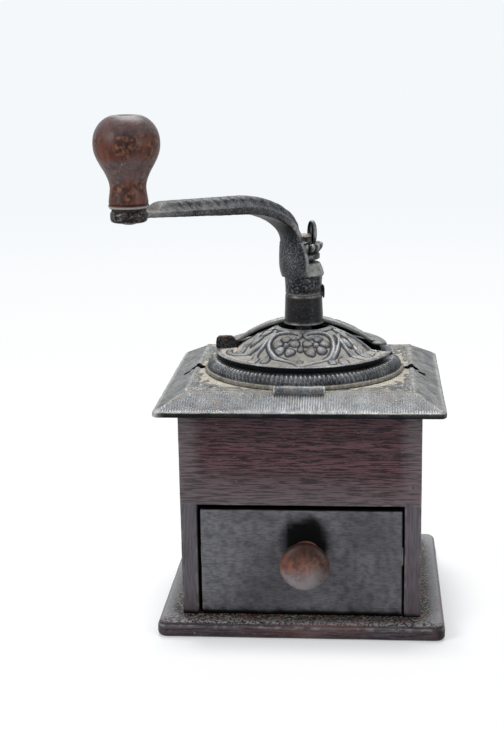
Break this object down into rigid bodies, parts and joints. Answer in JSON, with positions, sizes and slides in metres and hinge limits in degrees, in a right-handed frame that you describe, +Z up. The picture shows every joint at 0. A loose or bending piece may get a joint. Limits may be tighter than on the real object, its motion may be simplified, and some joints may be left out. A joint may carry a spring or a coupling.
{
  "type": "manual coffee grinder",
  "caption": "Wooden box coffee mill with a drawer, a cast iron top, a swinging half lid over the hopper, a crank with a turned knob, and a conical burr set inside.",
  "frame": {"origin": "centre of the base board's underside, on the surface the mill stands on", "axes": "+Z up along the spindle, +Y towards the back, -Y the way the drawer opens, +X to the right"},
  "size_m": [0.1978, 0.2223, 0.3217],
  "materials": {
    "dark_wood": "worn dark stain",
    "cast_iron": "aged casting, dusty",
    "steel": "tarnished",
    "knob_wood": "gloss red-brown varnish"
  },
  "bodies": {
    "case": {"base_board": "dark_wood", "left_side": "dark_wood", "right_side": "dark_wood", "back_board": "dark_wood", "front_board": "dark_wood", "base_screws": "steel", "case_nails": "steel", "top_plate": "cast_iron", "plate_screws": "steel", "hopper_bowl": "cast_iron", "bowl_bolts": "steel", "outer_burr": "cast_iron", "burr_bridge": "cast_iron", "bridge_screws": "steel", "back_dome": "cast_iron", "dome_screws": "steel", "spindle_spring": "steel"},
    "lid": {"hopper_lid": "cast_iron"},
    "crank": {"crank_arm": "cast_iron", "knob_rivet": "steel", "knob_washer": "steel"},
    "knob": {"crank_knob": "knob_wood"},
    "nut": {"adjusting_nut": "cast_iron"},
    "spindle": {"spindle": "steel", "inner_burr": "cast_iron", "burr_pin": "steel", "spring_washer": "steel", "cotter_pin": "steel"},
    "drawer": {"drawer_front": "dark_wood", "drawer_left": "dark_wood", "drawer_right": "dark_wood", "drawer_back": "dark_wood", "drawer_bottom": "dark_wood", "drawer_nails": "steel", "drawer_knob": "knob_wood", "drawer_knob_screw": "steel"}
  },
  "joints": [
    {"name": "crank_spin", "type": "hinge", "parent": "case", "child": "crank", "pos_m": [0, 0, 0.2], "axis": [0, 0, 1], "continuous": true},
    {"name": "knob_spin", "type": "hinge", "parent": "crank", "child": "knob", "pos_m": [-0.09027, -0.1198, 0.296], "axis": [0, 0, 1], "continuous": true},
    {"name": "nut_turn", "type": "hinge", "parent": "crank", "child": "nut", "pos_m": [0, 0, 0.228], "axis": [0, 0, 1], "range_deg": [0, 450]},
    {"name": "spindle_lift", "type": "slide", "parent": "crank", "child": "spindle", "axis": [0, 0, -1], "range_m": [0, 0.00159], "deforming": ["spindle_spring"]},
    {"name": "lid_swing", "type": "hinge", "parent": "case", "child": "lid", "pos_m": [0, 0, 0.166], "axis": [0, 0, 1], "range_deg": [0, 165]},
    {"name": "drawer_slide", "type": "slide", "parent": "case", "child": "drawer", "axis": [0, -1, 0], "range_m": [0, 0.105]}
  ],
  "couplings": [
    {"joint": "nut_turn", "follows": "spindle_lift", "rad_per_m": 4947.4}
  ]
}
